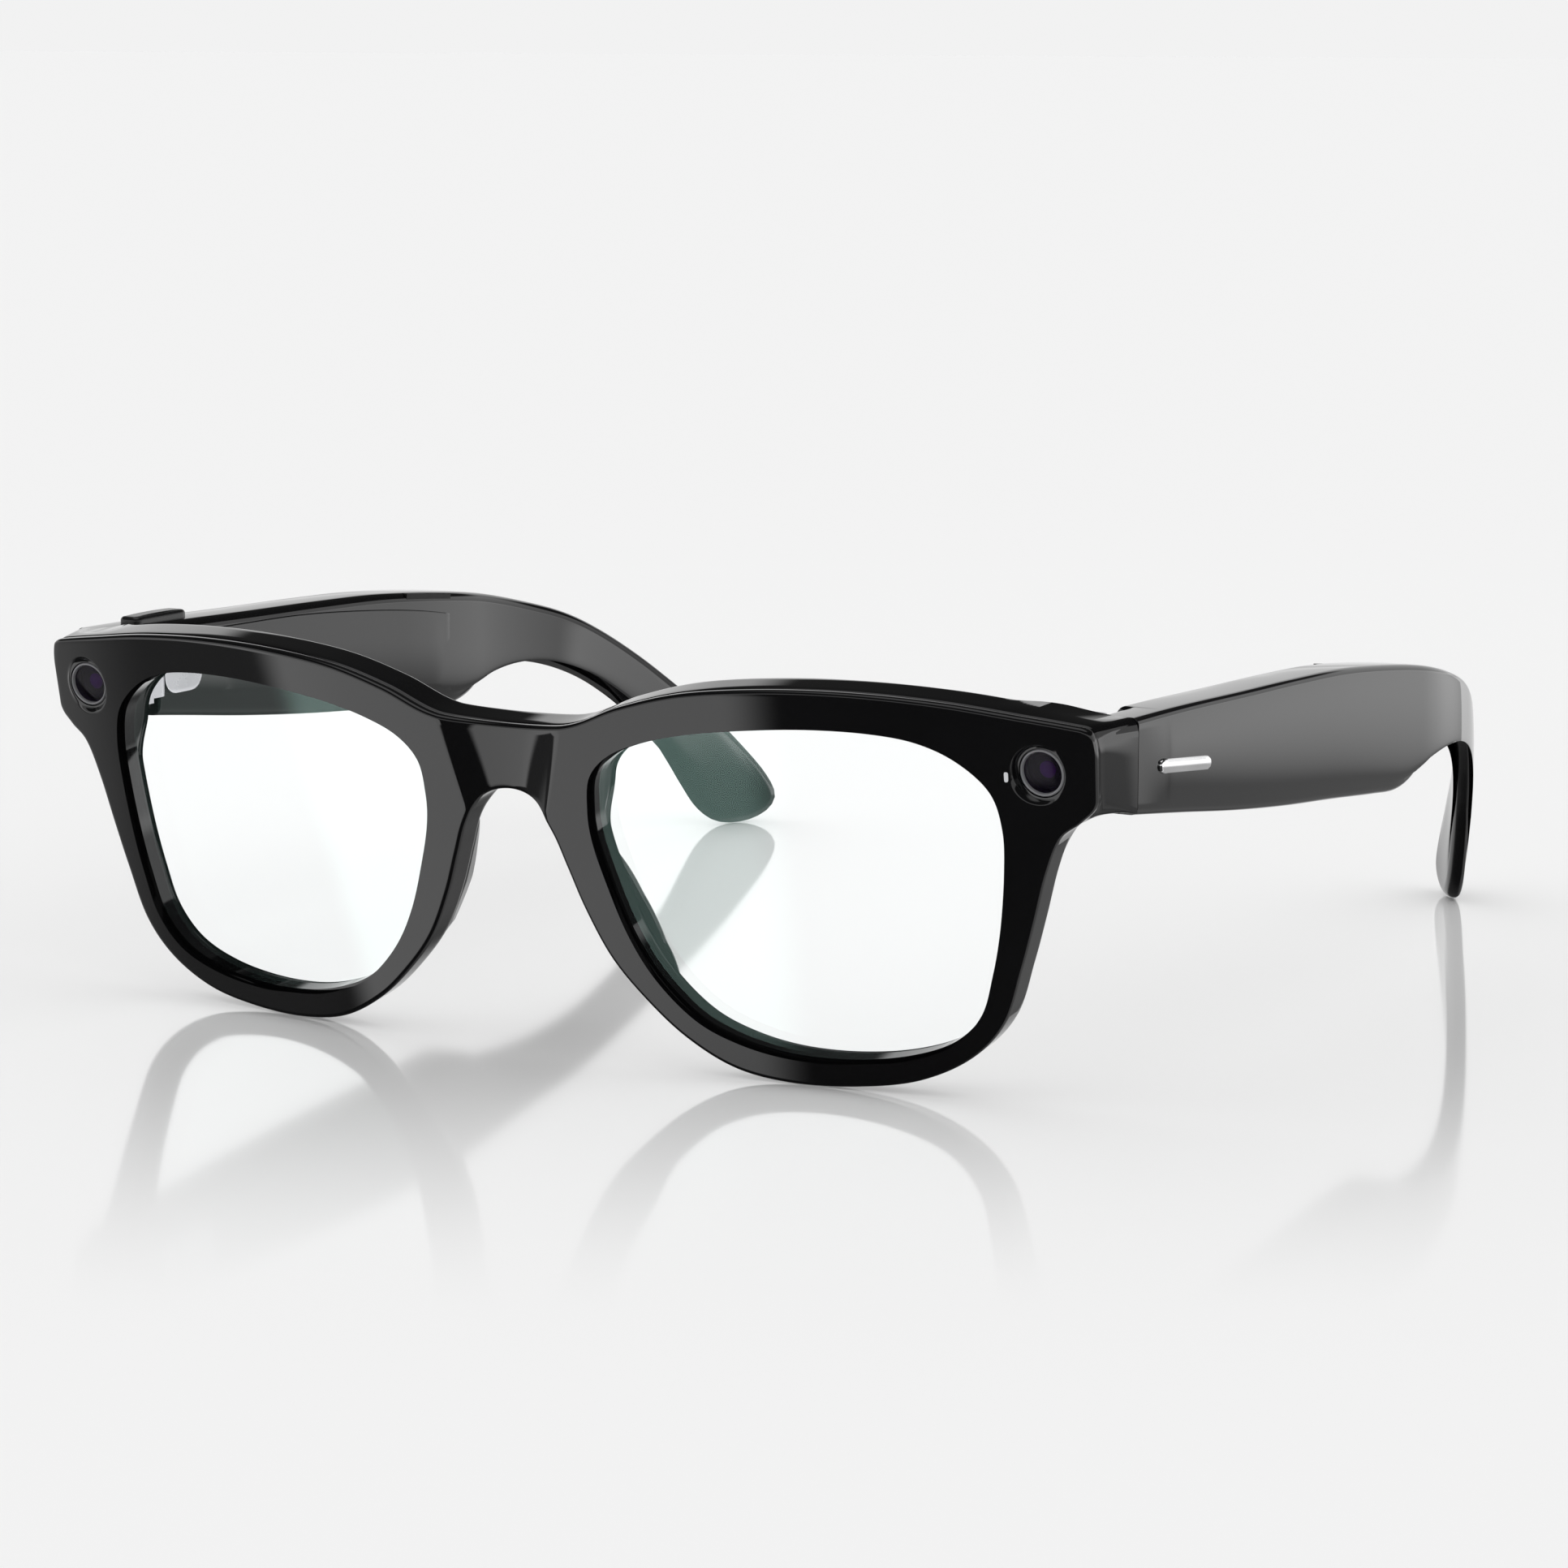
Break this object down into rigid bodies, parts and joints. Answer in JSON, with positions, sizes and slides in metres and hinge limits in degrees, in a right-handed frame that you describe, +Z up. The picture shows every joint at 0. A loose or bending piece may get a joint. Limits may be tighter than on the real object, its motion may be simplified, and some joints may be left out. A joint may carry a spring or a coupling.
{
  "type": "smart glasses",
  "caption": "Camera smart glasses: thick gloss-black square front with clear lenses and a round camera ring in each end piece, folding electronic temples with bent tips.",
  "frame": {"origin": "centre of the footprint on the table the glasses stand on, temples open", "axes": "+X towards the wearer's left temple, +Y from the front towards the temple tips, +Z up; the front faces -Y"},
  "size_m": [0.1458, 0.1526, 0.0465],
  "materials": {
    "gloss_black": "polished injection-moulded black nylon",
    "satin_black": "satin black moulding",
    "button_black": "semi-gloss black",
    "lens_clear": "clear lens with anti-reflection coating",
    "ring_metal": "dark anodised turned ring",
    "camera_glass": "dark coated cover glass",
    "module_black": "matte black",
    "circuit_board": "green solder mask",
    "light_pipe": "milky clear light pipe",
    "flex_film": "amber polyimide film",
    "contact_gold": "gold plated",
    "mesh_black": "fine black mesh",
    "hinge_steel": "machined steel",
    "polished_metal": "polished metal inlay",
    "core_steel": "plain steel",
    "battery_foil": "foil pouch"
  },
  "bodies": {
    "front": {"front_frame": "gloss_black", "front_rear_cover": "satin_black", "front_flex_cable": "flex_film", "left_lens": "lens_clear", "right_lens": "lens_clear", "left_nose_pad": "satin_black", "right_nose_pad": "satin_black", "left_camera_bezel": "ring_metal", "right_camera_bezel": "ring_metal", "left_camera_window": "camera_glass", "right_camera_window": "camera_glass", "left_camera_barrel": "module_black", "right_camera_barrel": "module_black", "camera_module": "circuit_board", "led_module": "circuit_board", "status_led": "light_pipe", "bridge_contacts": "contact_gold", "bridge_microphone": "mesh_black", "left_front_hinge": "hinge_steel", "right_front_hinge": "hinge_steel", "left_hinge_pin": "hinge_steel", "right_hinge_pin": "hinge_steel"},
    "left_temple": {"left_temple_shell": "gloss_black", "left_temple_cover": "satin_black", "left_temple_hinge": "hinge_steel", "left_core_wire": "core_steel", "left_battery": "battery_foil", "left_speaker": "module_black", "left_speaker_grille": "mesh_black", "left_temple_mic": "mesh_black", "left_emblem": "polished_metal", "switch_body": "core_steel"},
    "right_temple": {"right_temple_shell": "gloss_black", "right_temple_cover": "satin_black", "right_temple_hinge": "hinge_steel", "right_core_wire": "core_steel", "right_battery": "battery_foil", "right_speaker": "module_black", "right_speaker_grille": "mesh_black", "right_temple_mic": "mesh_black", "right_emblem": "polished_metal", "main_board": "circuit_board", "touch_flex": "flex_film", "button_switch": "core_steel"},
    "button": {"capture_button": "button_black"},
    "slider": {"power_switch": "button_black"}
  },
  "joints": [
    {"name": "left_temple_fold", "type": "hinge", "parent": "front", "child": "left_temple", "pos_m": [0.065, -0.05623, 0.03864], "axis": [0, 0, 1], "range_deg": [0, 86]},
    {"name": "right_temple_fold", "type": "hinge", "parent": "front", "child": "right_temple", "pos_m": [-0.065, -0.05623, 0.03864], "axis": [0, 0, -1], "range_deg": [0, 69]},
    {"name": "capture_button_press", "type": "slide", "parent": "right_temple", "child": "button", "axis": [0, 0, -1], "range_m": [0, 0.0004], "stiffness_N_per_m": 4000},
    {"name": "power_switch_slide", "type": "slide", "parent": "left_temple", "child": "slider", "axis": [0, 1, 0], "range_m": [0, 0.002]}
  ]
}
